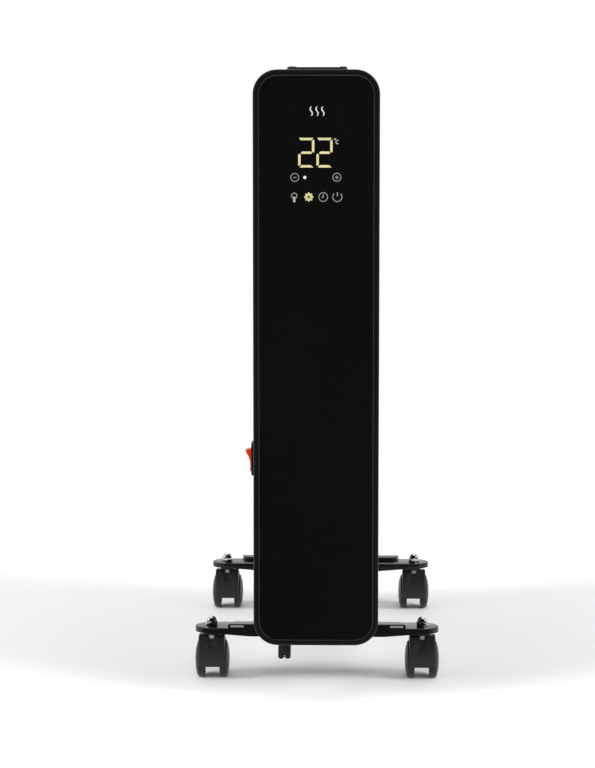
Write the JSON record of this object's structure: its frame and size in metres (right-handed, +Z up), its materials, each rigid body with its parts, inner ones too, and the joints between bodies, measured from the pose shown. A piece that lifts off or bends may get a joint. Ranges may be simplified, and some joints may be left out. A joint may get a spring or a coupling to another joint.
{
  "type": "oil filled radiator heater",
  "caption": "Oil-filled fin radiator on swivelling twin-wheel casters, with a touch control column, side mains rocker and carry handle.",
  "frame": {"origin": "on the floor, under the middle of the whole heater", "axes": "+Z up; the control column faces -Y; +X is right as seen from the front"},
  "size_m": [0.2592, 0.4984, 0.6458],
  "materials": {
    "radiator_enamel": "gloss",
    "column_shell": "satin",
    "column_frame": "gloss",
    "panel_glass": "gloss",
    "display_module": "satin",
    "circuit_board": "satin",
    "relay_case": "gloss",
    "terminal_ceramic": "satin",
    "zinc_steel": "satin",
    "element_copper": "satin",
    "cap_chrome": "polished",
    "rocker_red": "gloss",
    "handle_plastic": "satin",
    "gland_rubber": "matte",
    "caster_plastic": "satin"
  },
  "bodies": {
    "heater": {"fin_01": "radiator_enamel", "fin_02": "radiator_enamel", "fin_03": "radiator_enamel", "fin_04": "radiator_enamel", "fin_05": "radiator_enamel", "fin_06": "radiator_enamel", "fin_07": "radiator_enamel", "fin_08": "radiator_enamel", "fin_09": "radiator_enamel", "fin_10": "radiator_enamel", "fin_11": "radiator_enamel", "heating_element": "element_copper", "element_flange": "zinc_steel", "oil_filler_plug": "zinc_steel", "heat_shield": "radiator_enamel", "control_housing": "column_shell", "control_frame": "column_frame", "glass_panel": "panel_glass", "display_board": "circuit_board", "led_display": "display_module", "power_board": "circuit_board", "relay": "relay_case", "terminal_block": "terminal_ceramic", "thermal_cutout": "zinc_steel", "tilt_switch_body": "zinc_steel", "cord_gland": "gland_rubber", "rocker_bezel": "column_shell", "handle": "handle_plastic", "foot_front": "radiator_enamel", "foot_rear": "radiator_enamel", "hook_bolt_front": "zinc_steel", "hook_bolt_rear": "zinc_steel", "wing_nut_front": "zinc_steel", "wing_nut_rear": "zinc_steel", "caster_stem_front_left": "zinc_steel", "cap_nut_front_left": "cap_chrome", "caster_stem_front_right": "zinc_steel", "cap_nut_front_right": "cap_chrome", "caster_stem_rear_left": "zinc_steel", "cap_nut_rear_left": "cap_chrome", "caster_stem_rear_right": "zinc_steel", "cap_nut_rear_right": "cap_chrome"},
    "mains_switch": {"rocker": "rocker_red"},
    "tip_weight": {"tilt_pendulum": "zinc_steel"},
    "swivel_front_left": {"caster_hood_front_left": "caster_plastic", "axle_front_left": "zinc_steel"},
    "roller_front_left_left": {"wheel_front_left_left": "caster_plastic"},
    "roller_front_left_right": {"wheel_front_left_right": "caster_plastic"},
    "swivel_front_right": {"caster_hood_front_right": "caster_plastic", "axle_front_right": "zinc_steel"},
    "roller_front_right_left": {"wheel_front_right_left": "caster_plastic"},
    "roller_front_right_right": {"wheel_front_right_right": "caster_plastic"},
    "swivel_rear_left": {"caster_hood_rear_left": "caster_plastic", "axle_rear_left": "zinc_steel"},
    "roller_rear_left_left": {"wheel_rear_left_left": "caster_plastic"},
    "roller_rear_left_right": {"wheel_rear_left_right": "caster_plastic"},
    "swivel_rear_right": {"caster_hood_rear_right": "caster_plastic", "axle_rear_right": "zinc_steel"},
    "roller_rear_right_left": {"wheel_rear_right_left": "caster_plastic"},
    "roller_rear_right_right": {"wheel_rear_right_right": "caster_plastic"}
  },
  "joints": [
    {"name": "rocker_throw", "type": "hinge", "parent": "heater", "child": "mains_switch", "pos_m": [-0.0615, -0.21621, 0.2477], "axis": [0, 1, 0], "range_deg": [0, 26]},
    {"name": "pendulum_tip", "type": "hinge", "parent": "heater", "child": "tip_weight", "pos_m": [0.03, -0.202, 0.1083], "axis": [0, 1, 0], "range_deg": [-25, 25]},
    {"name": "swivel_front_left_turn", "type": "hinge", "parent": "heater", "child": "swivel_front_left", "pos_m": [-0.1114, -0.14921, 0.0503], "axis": [0, 0, 1], "continuous": true},
    {"name": "roll_front_left_left", "type": "hinge", "parent": "swivel_front_left", "child": "roller_front_left_left", "pos_m": [-0.1114, -0.1332, 0.01975], "axis": [1, 0, 0], "continuous": true},
    {"name": "roll_front_left_right", "type": "hinge", "parent": "swivel_front_left", "child": "roller_front_left_right", "pos_m": [-0.1114, -0.1332, 0.01975], "axis": [1, 0, 0], "continuous": true},
    {"name": "swivel_front_right_turn", "type": "hinge", "parent": "heater", "child": "swivel_front_right", "pos_m": [0.1114, -0.14921, 0.0503], "axis": [0, 0, 1], "continuous": true},
    {"name": "roll_front_right_left", "type": "hinge", "parent": "swivel_front_right", "child": "roller_front_right_left", "pos_m": [0.1114, -0.1332, 0.01975], "axis": [1, 0, 0], "continuous": true},
    {"name": "roll_front_right_right", "type": "hinge", "parent": "swivel_front_right", "child": "roller_front_right_right", "pos_m": [0.1114, -0.1332, 0.01975], "axis": [1, 0, 0], "continuous": true},
    {"name": "swivel_rear_left_turn", "type": "hinge", "parent": "heater", "child": "swivel_rear_left", "pos_m": [-0.1114, 0.2108, 0.0503], "axis": [0, 0, 1], "continuous": true},
    {"name": "roll_rear_left_left", "type": "hinge", "parent": "swivel_rear_left", "child": "roller_rear_left_left", "pos_m": [-0.1114, 0.22679, 0.01975], "axis": [1, 0, 0], "continuous": true},
    {"name": "roll_rear_left_right", "type": "hinge", "parent": "swivel_rear_left", "child": "roller_rear_left_right", "pos_m": [-0.1114, 0.22679, 0.01975], "axis": [1, 0, 0], "continuous": true},
    {"name": "swivel_rear_right_turn", "type": "hinge", "parent": "heater", "child": "swivel_rear_right", "pos_m": [0.1114, 0.2108, 0.0503], "axis": [0, 0, 1], "continuous": true},
    {"name": "roll_rear_right_left", "type": "hinge", "parent": "swivel_rear_right", "child": "roller_rear_right_left", "pos_m": [0.1114, 0.22679, 0.01975], "axis": [1, 0, 0], "continuous": true},
    {"name": "roll_rear_right_right", "type": "hinge", "parent": "swivel_rear_right", "child": "roller_rear_right_right", "pos_m": [0.1114, 0.22679, 0.01975], "axis": [1, 0, 0], "continuous": true}
  ]
}
